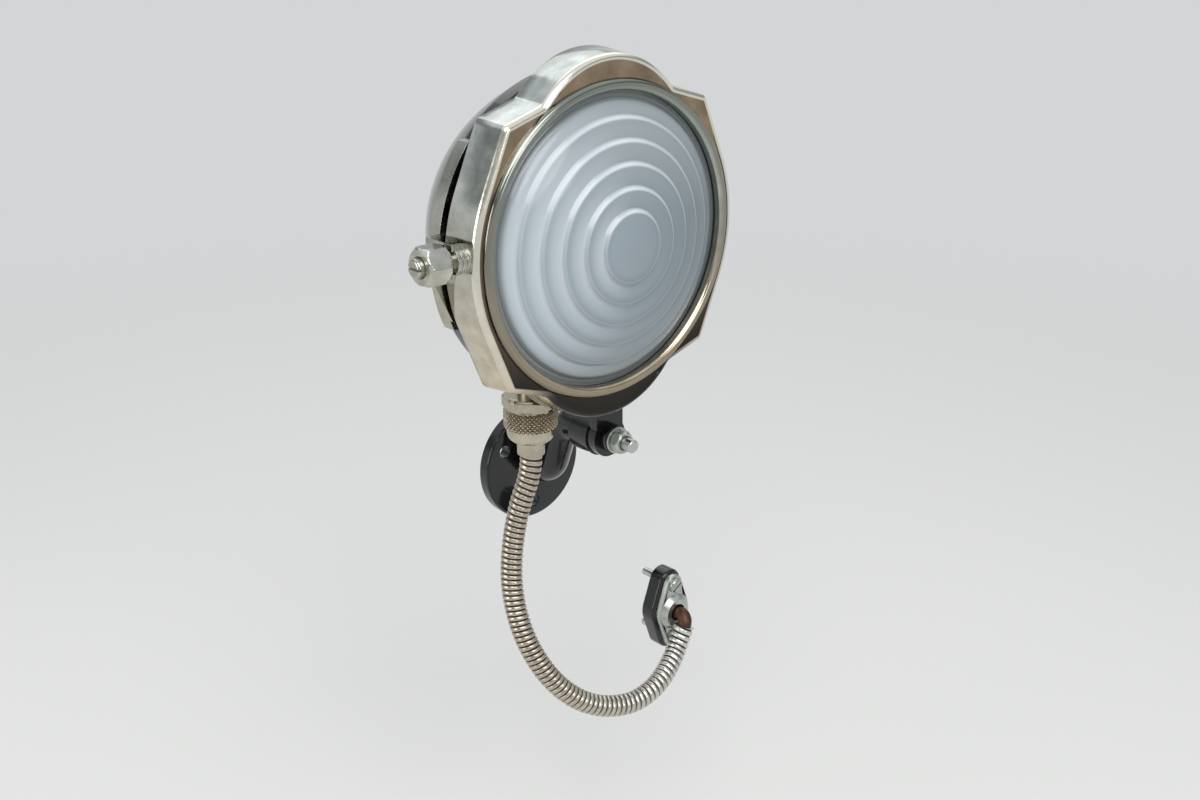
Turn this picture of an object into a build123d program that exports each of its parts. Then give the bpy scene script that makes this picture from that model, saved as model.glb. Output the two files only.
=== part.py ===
from build123d import *
from math import acos, asin, atan, cos, degrees, pi, radians, sin, sqrt, tan
import os

# Electric side lamp of a veteran car, with its bracket, its flexible conduit and the conduit's oval flange.
# Millimetres. The origin is the centre of the bracket foot's back face, +Z is up and the lamp faces -Y.
# Depths are counted backwards (+Y) from the lip, the plane of the bezel's front face.

# Place of the lamp, measured from the bracket foot
lip_depth = 104.0
lamp_height = 150.0
lamp_offset = 29.5

# Bezel: a stamped band with two round lobes and four corners
band_depth = 20.0
band_wall = 1.6
band_flare = 1.8
face_wall = 2.0
side_radius = 80.0
corner_rise = 6.3
corner_round = 2.5
lobe_radius = 50.0
lobe_set_back = 43.5
lobe_half = 39.0
band_edge = 1.2
lens_margin = 10.0
bead_width = 5.5
bead_height = 2.5
seat_wall = 1.5
seat_depth = 9.0

# Lens: pressed glass, a dome in rings
dome_height = 15.6
ring_shares = [0.253, 0.398, 0.551, 0.697, 0.841, 0.947]
ring_step = 1.7
riser_width = 1.6
lens_rim_width = 3.6
lens_rim_thickness = 3.0
lens_back_drop = 4.0
gasket_thickness = 1.0
retainer_thickness = 2.0
seat_clearance = 0.3

# Body: front ring, bowl and reflector
ring_step_in = 1.5
ring_front = 24.0
ring_edge = 7.5
ring_back = 33.5
ring_taper = 0.5
ring_wall = 2.5
lip_step = 1.5
lip_wall = 1.2
lip_front = 12.0
ledge_depth = 27.0
bowl_wall = 1.2
bowl_rim_step = 1.1
bowl_heel_radius = 23.9
bowl_bulge = 8.2
bowl_depth = 93.0
reflector_wall = 0.8
reflector_flange = 5.2
reflector_clearance = 0.3
reflector_bulge = 11.7

# Bulb and its socket, which stands on the bowl's floor
socket_radius = 11.7
socket_clearance = 0.3
socket_bore = 7.7
socket_base = 7.8
socket_bore_depth = 20.0
socket_stand_out = 13.0
bulb_cap_clearance = 0.1
bulb_cap_stand_out = 8.0
bulb_neck_radius = 6.1
bulb_radius = 14.0
bulb_reach = 13.0

# Door hinge, on the side that faces the car
hinge_stand_off = 6.0
hinge_depth = 25.0
knuckle_radius = 4.5
knuckle_length = 12.0
knuckle_gap = 0.3
hinge_pin_radius = 2.0
pin_clearance = 0.05
pin_head_radius = 3.2
pin_head_height = 1.5
leaf_thickness = 2.2
leaf_front = 6.0
leaf_gap = 0.7

# Clasp, on the outer side: a forked lug and its curved strap on the ring, a stud and its nut on the bezel
clasp_depth = 9.0
clasp_height = 4.5
boss_radius = 6.85
boss_length = 7.0
boss_ribs = 3
rib_groove = 0.5
lug_thickness = 1.3
lug_gap = 0.4
lug_front = 5.0
lug_web = 2.0
lug_head = 8.2
lug_foot = 9.0
lug_tail = 33.0
lug_seat = 3.5
strap_thickness = 3.5
strap_rise = 47.0
strap_drop = 38.0
slot_width = 10.4
stud_radius = 4.5
stud_tip = 3.4
stud_round = 1.4
stud_slot = 1.2
stud_slot_depth = 1.6
nut_flats = 16.5
nut_length = 12.5
nut_gap = 1.9
nut_cone = 1.2
nut_bore_clearance = 0.05

# Lug under the bowl and the bracket that it is bolted to
bolt_drop = 37.5
root_depth = 17.0
lug_plate = 6.0
lug_plate_front = 34.0
lug_eye_radius = 10.5
lug_width = 18.0
lug_boss_radius = 7.5
lug_boss_length = 5.0
saddle_thickness = 3.0
saddle_half_width = 15.0
saddle_back = 60.0
rib_thickness = 6.0
rib_clearance = 2.0
eye_radius = 11.5
eye_length = 14.0
arm_radius = 8.0
arm_bend = 13.0
arm_level_run = 15.0
foot_radius = 32.0
foot_thickness = 7.0
foot_bolt_circle = 46.0
foot_bolt_hole = 3.5
foot_bolts = 3
foot_edge = 1.5
bolt_radius = 3.5
bolt_clearance = 0.15
bolt_seat = 12.0
bolt_flats = 11.0
bolt_nut_height = 6.0
bolt_nut_cone = 0.7
bolt_tip = 6.5
bolt_chamfer = 0.6
washer_radius = 7.0
washer_thickness = 1.2

# Conduit and the connector that it hangs from
outlet_depth = 42.0
outlet_offset = -16.5
nipple_radius = 6.5
connector_drop = 4.5
top_nut_flats = 26.0
top_nut_corner = 14.4
top_nut_turn = -12.0
top_nut_height = 7.0
knurl_radius = 13.7
knurl_edge = 0.8
knurl_band = 10.0
bottom_collar = 8.0
bottom_collar_radius = 12.0
bottom_collar_round = 4.5
ferrule_radius = 7.0
ferrule_length = 7.0
conduit_radius = 5.75
conduit_lead = 10.0
conduit_points = [
    (-53.0, -60.5, 8.0), (-58.6, -60.5, -15.0), (-62.0, -64.0, -38.0), (-61.5, -74.0, -62.2),
    (-53.0, -86.5, -84.8), (-36.0, -95.5, -100.5), (-13.0, -101.0, -106.5), (5.2, -101.5, -102.5),
    (19.2, -97.5, -96.2), (29.4, -93.5, -88.7), (33.6, -93.5, -78.5),
]

# Conduit flange on its pad
flange_centre = (35.4, -73.9)
flange_face = 84.0
flange_length = 43.0
flange_waist = 10.9
flange_tip = 5.6
flange_plate = 3.0
flange_edge = 0.8
flange_collar_radius = 10.0
flange_collar_height = 3.0
flange_collar_taper = 35.0
pad_thickness = 9.0
pad_margin = 2.0
bushing_radius = 3.9
bushing_bend = 4.5
bushing_hole_clearance = 0.9
screw_offset = 15.6
screw_shank_radius = 2.4
screw_thread_radius = 2.1
screw_clearance = 0.15
screw_slot = 0.9
screw_slot_depth = 1.1
screw_slot_turn = 35.0
screw_head_radius = 4.2
screw_head_height = 2.4
screw_head_round = 1.6
screw_stand_out = 12.0
wire_hole = 3.0

# Frames and places worked out from the sizes above
lamp_x = -lamp_offset
lip_y = -lip_depth
lamp_centre = (lamp_x, lip_y, lamp_height)
lamp_axis = Axis(lamp_centre, (0, 1, 0))
face_plane = Plane(origin=lamp_centre, x_dir=(1, 0, 0), z_dir=(0, -1, 0))
section = Plane(origin=lamp_centre, x_dir=(1, 0, 0), z_dir=(0, 0, 1))
corner_reach = side_radius + corner_rise
corner = corner_reach / sqrt(2)
lobe_centre = side_radius - lobe_set_back
lobe_join = lobe_centre + sqrt(lobe_radius**2 - lobe_half**2)
side_angle = 45 - degrees(acos(side_radius / corner_reach))
lens_opening = side_radius - lens_margin
bead_outer = lens_opening + bead_width
lens_edge = lens_opening + lens_rim_width
seat_radius = lens_edge + seat_clearance
dome_radius = lens_opening - seat_clearance
gasket_back = face_wall + gasket_thickness
rim_back = gasket_back + lens_rim_thickness
band_draft = degrees(atan(band_flare / band_depth))
ring_radius = side_radius - ring_step_in
ring_back_radius = ring_radius - ring_taper
ring_bore = ring_back_radius - ring_wall
lip_radius = ring_bore - lip_step
bowl_rim = ring_back_radius - bowl_rim_step
bowl_floor = bowl_depth - bowl_wall
socket_floor = bowl_floor - socket_base
socket_front = socket_floor - socket_bore_depth
reflector_depth = socket_front + socket_stand_out
bulb_cap_front = socket_front - bulb_cap_stand_out
bulb_centre = bulb_cap_front - bulb_reach
root_z = lamp_height - bowl_rim + root_depth
bolt_z = lamp_height - ring_radius - bolt_drop
lug_face_y = lip_y + lug_plate_front
eye_front_y = lug_face_y + lug_plate
eye_back_y = eye_front_y + eye_length
outlet_x = lamp_x + outlet_offset
outlet_y = lip_y + outlet_depth
connector_top = lamp_height - ring_radius - connector_drop
clasp_z = lamp_height + clasp_height
clasp_y = lip_y + clasp_depth
hinge_reach = side_radius + hinge_stand_off
hinge_x = lamp_x + hinge_reach
hinge_y = lip_y + hinge_depth
flange_x, flange_z = flange_centre
flange_y = -flange_face

os.makedirs("parts", exist_ok=True)


def keep(piece, label):
    piece.part.label = label
    export_step(piece.part, f"parts/{label}.step")


def depth_plane(depth):
    return face_plane.offset(-depth)


def bezel_outline(inset=0.0):
    """Band outline seen from the front: side arcs, tangents to the corners, shoulders and round lobes."""
    join_angle = degrees(asin((lobe_join - lobe_centre) / lobe_radius))
    with BuildSketch() as outline:
        with BuildLine():
            CenterArc((0, 0), side_radius, 0, side_angle)
            foot = (side_radius * cos(radians(side_angle)), side_radius * sin(radians(side_angle)))
            Line(foot, (corner, corner))
            Line((corner, corner), (lobe_half, lobe_join))
            CenterArc((0, lobe_centre), lobe_radius, join_angle, 90 - join_angle)
            mirror(about=Plane.YZ)
            mirror(about=Plane.XZ)
        make_face()
        tips = outline.vertices().filter_by(lambda v: abs(abs(v.X) - abs(v.Y)) < 0.01)
        fillet(tips, corner_round)
        if inset:
            offset(amount=-inset, kind=Kind.INTERSECTION)
    return outline.sketch


def dome(radius):
    """Height of the lens dome above the lip at a radius, a part of a sphere that starts on the gasket."""
    rise = dome_height + gasket_back
    sphere = (dome_radius**2 + rise**2) / (2 * rise)
    return dome_height - sphere + sqrt(sphere**2 - radius**2)


def bowl_form(grow):
    """Filled outer form of the bowl behind the ring, grown by a thickness: an arc turned round the axis."""
    rim = (bowl_rim + grow, ring_back)
    heel = (bowl_heel_radius + grow, bowl_depth + grow)
    with BuildPart() as form:
        with BuildSketch(section):
            with BuildLine():
                SagittaArc(heel, rim, bowl_bulge)
                Polyline(rim, (0, ring_back), (0, bowl_depth + grow), heel)
            make_face()
        revolve(axis=lamp_axis)
    return form.part


def band_form():
    """Filled band: the outline at the lip, flared towards the back."""
    with BuildPart() as form:
        with BuildSketch(depth_plane(band_depth)):
            add(bezel_outline(-band_flare))
        extrude(amount=band_depth, taper=band_draft)
    return form.part


# Lamp door
with BuildPart() as bezel:
    add(band_form())
    front = bezel.faces().sort_by(Axis.Y)[0]
    chamfer(front.edges(), band_edge)
    with BuildSketch(depth_plane(band_depth)):
        add(bezel_outline(band_wall - band_flare))
    extrude(amount=band_depth - face_wall, taper=band_draft, mode=Mode.SUBTRACT)
    with BuildSketch(depth_plane(seat_depth)):
        Circle(seat_radius + seat_wall)
    extrude(amount=seat_depth - face_wall / 2)
    with BuildSketch(depth_plane(seat_depth)):
        Circle(seat_radius)
    extrude(amount=seat_depth - face_wall, mode=Mode.SUBTRACT)
    with BuildSketch(section):
        with BuildLine():
            Line((lens_opening, face_wall / 2), (lens_opening, 0))
            ThreePointArc((lens_opening, 0), (lens_opening + bead_width / 2, -bead_height), (bead_outer, 0))
            Line((bead_outer, 0), (bead_outer, face_wall / 2))
            Line((bead_outer, face_wall / 2), (lens_opening, face_wall / 2))
        make_face()
    revolve(axis=lamp_axis)
    with BuildSketch(face_plane.offset(bead_height)):
        Circle(lens_opening)
    extrude(amount=-(band_depth + bead_height), mode=Mode.SUBTRACT)
keep(bezel, "bezel")

with BuildPart() as lens:
    steps = [(0, -dome(0) - ring_step / 4)]
    for radius in [share * lens_opening for share in ring_shares]:
        steps.append((radius - riser_width / 2, -dome(radius) - ring_step / 2))
        steps.append((radius + riser_width / 2, -dome(radius) + ring_step / 2))
    steps.append((dome_radius, gasket_back))
    steps.append((lens_edge, gasket_back))
    steps.append((lens_edge, rim_back))
    back_rim = (dome_radius - lens_rim_width, rim_back)
    steps.append(back_rim)
    back_top = -dome_height + lens_back_drop
    back_rise = rim_back - back_top
    back_sphere = (back_rim[0] ** 2 + back_rise**2) / (2 * back_rise)
    half_way = back_rim[0] / 2
    half_depth = back_top + back_sphere - sqrt(back_sphere**2 - half_way**2)
    with BuildSketch(section):
        with BuildLine():
            Polyline(*steps)
            ThreePointArc(back_rim, (half_way, half_depth), (0, back_top))
            Line((0, back_top), steps[0])
        make_face()
    revolve(axis=lamp_axis)
keep(lens, "lens")

with BuildPart() as lens_gasket:
    with BuildSketch(depth_plane(gasket_back)):
        Circle(lens_edge)
        Circle(dome_radius + seat_clearance, mode=Mode.SUBTRACT)
    extrude(amount=gasket_thickness)
keep(lens_gasket, "lens_gasket")

with BuildPart() as lens_retainer:
    with BuildSketch(depth_plane(rim_back + retainer_thickness)):
        Circle(lens_edge)
        Circle(lens_edge - lens_rim_width + seat_clearance, mode=Mode.SUBTRACT)
    extrude(amount=retainer_thickness)
keep(lens_retainer, "lens_retainer")

# Lamp body
with BuildPart() as rim_ring:
    with BuildSketch(section):
        with BuildLine():
            lip_inner = lip_radius - lip_wall
            Polyline((lip_inner, lip_front), (lip_radius, lip_front), (lip_radius, ring_front),
                     (ring_radius, ring_front), (ring_radius, ring_front + ring_edge),
                     (ring_back_radius, ring_back), (ring_bore, ring_back),
                     (ring_bore, ledge_depth), (lip_inner, ledge_depth), close=True)
        make_face()
    revolve(axis=lamp_axis)
keep(rim_ring, "rim_ring")

with BuildPart() as bowl:
    add(bowl_form(0))
    add(bowl_form(-bowl_wall), mode=Mode.SUBTRACT)
keep(bowl, "bowl")

with BuildPart() as reflector:
    with BuildSketch(section):
        with BuildLine():
            rim_outer = ring_bore - reflector_clearance
            throat = rim_outer - reflector_flange
            rim_end = ledge_depth + reflector_wall
            hole = socket_radius + socket_clearance
            hole_end = reflector_depth + reflector_wall
            Line((rim_outer, ledge_depth), (throat, ledge_depth))
            SagittaArc((throat, ledge_depth), (hole, reflector_depth), -reflector_bulge)
            Line((hole, reflector_depth), (hole, hole_end))
            SagittaArc((hole, hole_end), (throat + reflector_wall, rim_end), reflector_bulge)
            Polyline((throat + reflector_wall, rim_end), (rim_outer, rim_end), (rim_outer, ledge_depth))
        make_face()
    revolve(axis=lamp_axis)
keep(reflector, "reflector")

with BuildPart() as bulb_socket:
    with BuildSketch(depth_plane(bowl_floor)):
        Circle(socket_radius)
    extrude(amount=bowl_floor - socket_front)
    with BuildSketch(depth_plane(socket_floor)):
        Circle(socket_bore)
    extrude(amount=socket_bore_depth, mode=Mode.SUBTRACT)
keep(bulb_socket, "bulb_socket")

with BuildPart() as bulb_cap:
    with BuildSketch(depth_plane(socket_floor)):
        Circle(socket_bore - bulb_cap_clearance)
    extrude(amount=socket_floor - bulb_cap_front)
keep(bulb_cap, "bulb_cap")

with BuildPart() as bulb:
    shoulder = bulb_centre + sqrt(bulb_radius**2 - bulb_neck_radius**2)
    tip = (0, bulb_centre - bulb_radius)
    with BuildSketch(section):
        with BuildLine():
            ThreePointArc(tip, (bulb_radius, bulb_centre), (bulb_neck_radius, shoulder))
            Polyline((bulb_neck_radius, shoulder), (bulb_neck_radius, bulb_cap_front), (0, bulb_cap_front), tip)
        make_face()
    revolve(axis=lamp_axis)
keep(bulb, "bulb")

# Door hinge
knuckle_step = knuckle_length + knuckle_gap
knuckle_bore = hinge_pin_radius + pin_clearance
hinge_plan = Plane(origin=(hinge_x, hinge_y, lamp_height))


def band_side(radius, front, back):
    """Round bar on the lamp's axis that a leaf is cut to, so that it lies on the curved side."""
    with BuildPart() as bar:
        with BuildSketch(depth_plane(back)):
            Circle(radius)
        extrude(amount=back - front)
    return bar.part


with BuildPart() as door_leaf:
    with BuildSketch(hinge_plan.offset(-knuckle_length / 2)):
        Circle(knuckle_radius)
        leaf_back = ring_front - leaf_gap - hinge_depth
        with Locations((side_radius - hinge_reach - 1, leaf_front - hinge_depth)):
            Rectangle(leaf_thickness + band_flare + 1, leaf_back - leaf_front + hinge_depth,
                      align=(Align.MIN, Align.MIN))
    extrude(amount=knuckle_length)
    add(band_form(), mode=Mode.SUBTRACT)
    add(band_side(side_radius + band_flare, band_depth, ring_front), mode=Mode.SUBTRACT)
    with BuildSketch(hinge_plan.offset(-knuckle_length)):
        Circle(knuckle_bore)
    extrude(amount=2 * knuckle_length, mode=Mode.SUBTRACT)
keep(door_leaf, "door_leaf")

with BuildPart() as body_leaf:
    for side in (-1, 1):
        with BuildSketch(hinge_plan.offset(side * knuckle_step - knuckle_length / 2)):
            Circle(knuckle_radius)
        extrude(amount=knuckle_length)
    web_front = ring_front - hinge_depth
    with BuildSketch(hinge_plan.offset(-knuckle_step - knuckle_length / 2)):
        with Locations((0, web_front)):
            Rectangle(hinge_reach - side_radius + 6, ring_edge, align=(Align.MAX, Align.MIN))
    extrude(amount=2 * knuckle_step + knuckle_length)
    add(band_side(ring_radius, ring_front - 1, ring_front + ring_edge + 1), mode=Mode.SUBTRACT)
    with BuildSketch(hinge_plan.offset(-knuckle_length / 2 - knuckle_gap)):
        Rectangle(2 * (hinge_reach - side_radius), 4 * knuckle_radius)
    extrude(amount=knuckle_length + 2 * knuckle_gap, mode=Mode.SUBTRACT)
    with BuildSketch(hinge_plan.offset(-2 * knuckle_length)):
        Circle(knuckle_bore)
    extrude(amount=4 * knuckle_length, mode=Mode.SUBTRACT)
keep(body_leaf, "body_leaf")

with BuildPart() as hinge_pin:
    half_pin = knuckle_step + knuckle_length / 2
    with BuildSketch(hinge_plan.offset(-half_pin - pin_head_height)):
        Circle(hinge_pin_radius)
    extrude(amount=2 * half_pin + pin_head_height)
    with BuildSketch(hinge_plan.offset(half_pin)):
        Circle(pin_head_radius)
    extrude(amount=pin_head_height)
keep(hinge_pin, "hinge_pin")

# Clasp
clasp_plane = Plane(origin=(lamp_x, clasp_y, clasp_z), x_dir=(0, 1, 0), z_dir=(-1, 0, 0))
boss_end = side_radius + boss_length
lug_inner = boss_end + lug_gap
lug_outer = lug_inner + lug_thickness
nut_start = lug_outer + nut_gap
stud_reach = nut_start + nut_length + stud_tip


def hexagon_nut(plane, flats, length, bore, cone):
    """Hexagon nut: a round bar with coned ends, cut to six flats and bored."""
    with BuildPart() as nut:
        with BuildSketch(plane):
            Circle(flats / sqrt(3))
        extrude(amount=length)
        chamfer(nut.edges().filter_by(GeomType.CIRCLE), cone)
        with BuildSketch(plane):
            RegularPolygon(flats / 2, 6, major_radius=False)
            Circle(bore, mode=Mode.SUBTRACT)
        extrude(amount=length, mode=Mode.INTERSECT)
    return nut


with BuildPart() as clasp_boss:
    with BuildSketch(clasp_plane.offset(side_radius - 2)):
        Circle(boss_radius)
    extrude(amount=boss_end - side_radius + 2)
    add(band_form(), mode=Mode.SUBTRACT)
    rib_pitch = boss_length / boss_ribs
    for rib in range(1, boss_ribs):
        with BuildSketch(clasp_plane.offset(side_radius + rib * rib_pitch - rib_groove / 2)):
            Circle(boss_radius)
            Circle(boss_radius - rib_groove, mode=Mode.SUBTRACT)
        extrude(amount=rib_groove, mode=Mode.SUBTRACT)
keep(clasp_boss, "clasp_boss")

with BuildPart() as clasp_stud:
    with BuildSketch(clasp_plane.offset(boss_end)):
        Circle(stud_radius)
    extrude(amount=stud_reach - boss_end)
    fillet(clasp_stud.faces().sort_by(Axis.X)[0].edges(), stud_round)
    with BuildSketch(clasp_plane.offset(stud_reach - stud_slot_depth)):
        Rectangle(3 * stud_radius, stud_slot)
    extrude(amount=stud_slot_depth, mode=Mode.SUBTRACT)
keep(clasp_stud, "clasp_stud")

clasp_nut = hexagon_nut(clasp_plane.offset(nut_start), nut_flats, nut_length, stud_radius + nut_bore_clearance,
                        nut_cone)
keep(clasp_nut, "clasp_nut")

with BuildPart() as clasp_lug:
    lug_plan = Plane(origin=(lamp_x, lip_y, clasp_z), x_dir=(-1, 0, 0), z_dir=(0, 1, 0))
    strap_radius = ring_radius + strap_thickness
    tail_reach = sqrt(strap_radius**2 - (lug_tail - clasp_height) ** 2)
    root_reach = tail_reach - strap_thickness - lug_seat - lug_web
    with BuildSketch(lug_plan.offset(ring_front - lug_web)):
        Polygon((tail_reach, -lug_tail), (lug_outer, -lug_foot), (lug_outer, lug_head),
                (root_reach, lug_head), (root_reach, -lug_tail), align=None)
        with Locations((0, -clasp_height)):
            Circle(ring_radius - lug_seat, mode=Mode.SUBTRACT)
    extrude(amount=lug_web)
    with BuildSketch(lug_plan.offset(ring_front)):
        with Locations((0, -clasp_height)):
            Circle(strap_radius)
            Circle(ring_radius, mode=Mode.SUBTRACT)
        with Locations((0, (strap_rise - strap_drop) / 2)):
            Rectangle(2 * ring_radius, strap_rise + strap_drop, align=(Align.MIN, Align.CENTER), mode=Mode.INTERSECT)
    extrude(amount=ring_edge)
    with BuildSketch(clasp_plane.offset(lug_inner)):
        with Locations((lug_front - clasp_depth, (lug_foot - lug_head) / 2)):
            Rectangle(ring_front - lug_front, lug_head + lug_foot, align=(Align.MIN, Align.CENTER))
        Circle(slot_width / 2, mode=Mode.SUBTRACT)
        Rectangle(clasp_depth, slot_width, align=(Align.MAX, Align.CENTER), mode=Mode.SUBTRACT)
    extrude(amount=lug_thickness)
keep(clasp_lug, "clasp_lug")

# Lug under the bowl: a saddle on the bowl, a hanging plate and a rib between them
with BuildPart() as lamp_lug:
    add(bowl_form(saddle_thickness))
    saddle_length = saddle_back - lug_plate_front
    with Locations((0, lug_face_y, 0)):
        Box(2 * saddle_half_width, saddle_length, root_z, mode=Mode.INTERSECT,
            align=(Align.CENTER, Align.MIN, Align.MIN))
    with BuildSketch(Plane(origin=(0, eye_front_y, bolt_z), x_dir=(1, 0, 0), z_dir=(0, -1, 0))):
        Circle(lug_eye_radius)
        Rectangle(lug_width, root_z - bolt_z, align=(Align.CENTER, Align.MIN))
    extrude(amount=lug_plate)
    with BuildSketch(Plane(origin=(-rib_thickness / 2, 0, 0), x_dir=(0, 1, 0), z_dir=(1, 0, 0))):
        with BuildLine():
            rib_foot = bolt_z + eye_radius + rib_clearance
            rib_end = lip_y + saddle_back
            Polyline((eye_front_y, rib_foot), (rib_end, root_z), (eye_front_y, root_z), close=True)
        make_face()
    extrude(amount=rib_thickness)
    add(bowl_form(0), mode=Mode.SUBTRACT)
    with BuildSketch(Plane(origin=(0, eye_front_y, bolt_z), x_dir=(1, 0, 0), z_dir=(0, -1, 0))):
        Circle(lug_boss_radius)
    extrude(amount=lug_plate + lug_boss_length)
    with BuildSketch(Plane(origin=(0, eye_front_y, bolt_z), x_dir=(1, 0, 0), z_dir=(0, -1, 0))):
        Circle(bolt_radius + bolt_clearance)
    extrude(amount=lug_plate + lug_boss_length, mode=Mode.SUBTRACT)
keep(lamp_lug, "lamp_lug")

# Bracket: an eye for the stud, a bent arm and a round foot with its bolt holes
with BuildPart() as bracket:
    foot_front = -foot_thickness
    with BuildSketch(Plane(origin=(0, 0, 0), x_dir=(1, 0, 0), z_dir=(0, -1, 0))):
        Circle(foot_radius)
    extrude(amount=foot_thickness)
    fillet(bracket.edges().sort_by(Axis.Y)[0], foot_edge)
    with BuildSketch(Plane(origin=(0, eye_back_y, bolt_z), x_dir=(1, 0, 0), z_dir=(0, -1, 0))):
        Circle(eye_radius)
    extrude(amount=eye_length)
    with BuildLine() as arm_path:
        FilletPolyline((0, eye_back_y - 1, bolt_z), (0, eye_back_y + arm_level_run, bolt_z),
                       (0, foot_front - arm_level_run, 0), (0, foot_front + 1, 0), radius=arm_bend)
    with BuildSketch(Plane(origin=(0, eye_back_y - 1, bolt_z), x_dir=(1, 0, 0), z_dir=(0, 1, 0))):
        Circle(arm_radius)
    sweep(path=arm_path.wire())
    with BuildSketch(Plane(origin=(0, 0, 0), x_dir=(1, 0, 0), z_dir=(0, -1, 0))):
        with PolarLocations(foot_bolt_circle / 2, foot_bolts, start_angle=-90):
            Circle(foot_bolt_hole)
    extrude(amount=foot_thickness, mode=Mode.SUBTRACT)
    with BuildSketch(Plane(origin=(0, eye_front_y + bolt_seat, bolt_z), x_dir=(1, 0, 0), z_dir=(0, -1, 0))):
        Circle(bolt_radius + bolt_clearance)
    extrude(amount=bolt_seat, mode=Mode.SUBTRACT)
keep(bracket, "bracket")

bolt_plane = Plane(origin=(0, lug_face_y - lug_boss_length, bolt_z), x_dir=(1, 0, 0), z_dir=(0, -1, 0))
with BuildPart() as bracket_stud:
    bolt_grip = bolt_seat + lug_plate + lug_boss_length
    bolt_length = bolt_grip + washer_thickness + bolt_nut_height + bolt_tip
    with BuildSketch(bolt_plane.offset(-bolt_grip)):
        Circle(bolt_radius)
    extrude(amount=bolt_length)
    chamfer(bracket_stud.faces().sort_by(Axis.Y)[0].edges(), bolt_chamfer)
keep(bracket_stud, "bracket_stud")

with BuildPart() as bracket_washer:
    with BuildSketch(bolt_plane):
        Circle(washer_radius)
        Circle(bolt_radius + bolt_clearance, mode=Mode.SUBTRACT)
    extrude(amount=washer_thickness)
keep(bracket_washer, "bracket_washer")

bracket_nut = hexagon_nut(bolt_plane.offset(washer_thickness), bolt_flats, bolt_nut_height,
                          bolt_radius + nut_bore_clearance, bolt_nut_cone)
keep(bracket_nut, "bracket_nut")

# Conduit connector: a nipple out of the bowl, a knurled nut and a ferrule
connector_length = top_nut_height + knurl_band + bottom_collar
connector_plane = Plane(origin=(outlet_x, outlet_y, connector_top - connector_length))
with BuildPart() as outlet_nipple:
    with BuildSketch(connector_plane.offset(connector_length)):
        Circle(nipple_radius)
    extrude(amount=root_z - connector_top)
    add(bowl_form(0), mode=Mode.SUBTRACT)
keep(outlet_nipple, "outlet_nipple")

with BuildPart() as connector_nut:
    with BuildSketch(connector_plane):
        Circle(bottom_collar_radius)
    extrude(amount=bottom_collar)
    fillet(connector_nut.edges().sort_by(Axis.Z)[0], bottom_collar_round)
    with BuildSketch(connector_plane.offset(bottom_collar)):
        Circle(knurl_radius)
    extrude(amount=knurl_band)
    knurl_rims = connector_nut.edges().filter_by(GeomType.CIRCLE).sort_by(SortBy.RADIUS)[-2:]
    chamfer(knurl_rims, knurl_edge)
    with BuildSketch(connector_plane.offset(bottom_collar + knurl_band)):
        RegularPolygon(top_nut_flats / 2, 6, major_radius=False, rotation=top_nut_turn)
        Circle(top_nut_corner, mode=Mode.INTERSECT)
    extrude(amount=top_nut_height)
keep(connector_nut, "connector_nut")

with BuildPart() as ferrule:
    with BuildSketch(connector_plane.offset(-ferrule_length)):
        Circle(ferrule_radius)
    extrude(amount=ferrule_length)
keep(ferrule, "ferrule")


def arc_radii(route):
    """Bend radius at each inner point of a route: 0.45 of the shorter run over the tangent of half the turn."""
    radii = []
    for before, here, after in zip(route, route[1:], route[2:]):
        first = Vector(*here) - Vector(*before)
        second = Vector(*after) - Vector(*here)
        half_turn = radians(first.get_angle(second)) / 2
        radii.append(0.45 * min(first.length, second.length) / tan(half_turn))
    return radii


# Conduit: straight runs joined by tangent arcs, from the ferrule to the flange
with BuildPart() as conduit:
    conduit_top = connector_top - connector_length - ferrule_length
    hang = (outlet_x, outlet_y, conduit_top)
    conduit_route = [hang, (outlet_x, outlet_y, conduit_top - conduit_lead)] + conduit_points
    bends = arc_radii(conduit_route)
    with BuildLine() as conduit_path:
        FilletPolyline(*conduit_route, radius=bends)
    path = conduit_path.wire()
    with BuildSketch(Plane(origin=path @ 0, z_dir=path % 0)):
        Circle(conduit_radius)
    sweep(path=path)
keep(conduit, "conduit")
print("conduit bends", [round(bend, 1) for bend in bends])
tube_volume = pi * conduit_radius**2 * path.length
print(f"conduit length {path.length:.1f}, volume over section times length {conduit.part.volume / tube_volume:.4f}")

# Bushing: an elbow from the conduit's end back into the flange
conduit_end = Vector(*conduit_route[-1])
end_run = (conduit_end - Vector(*conduit_route[-2])).normalized()
with BuildPart() as bushing:
    elbow = conduit_end + end_run * ((flange_z - conduit_end.Z) / end_run.Z)
    plate_back = flange_y + flange_plate
    with BuildLine() as elbow_path:
        FilletPolyline(conduit_end, elbow, (elbow.X, plate_back, elbow.Z), radius=bushing_bend)
    with BuildSketch(Plane(origin=conduit_end, z_dir=end_run)):
        Circle(bushing_radius)
    sweep(path=elbow_path.wire())
keep(bushing, "bushing")

flange_plane = Plane(origin=(flange_x, plate_back, flange_z), x_dir=(1, 0, 0), z_dir=(0, -1, 0))


def oval(margin=0.0):
    """Two-screw oval: the outline round a middle circle and two tip circles, grown by a margin."""
    with BuildSketch() as shape:
        Circle(flange_waist + margin)
        with Locations((0, flange_length / 2 - flange_tip), (0, flange_tip - flange_length / 2)):
            Circle(flange_tip + margin)
        make_hull()
    return shape.sketch


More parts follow.
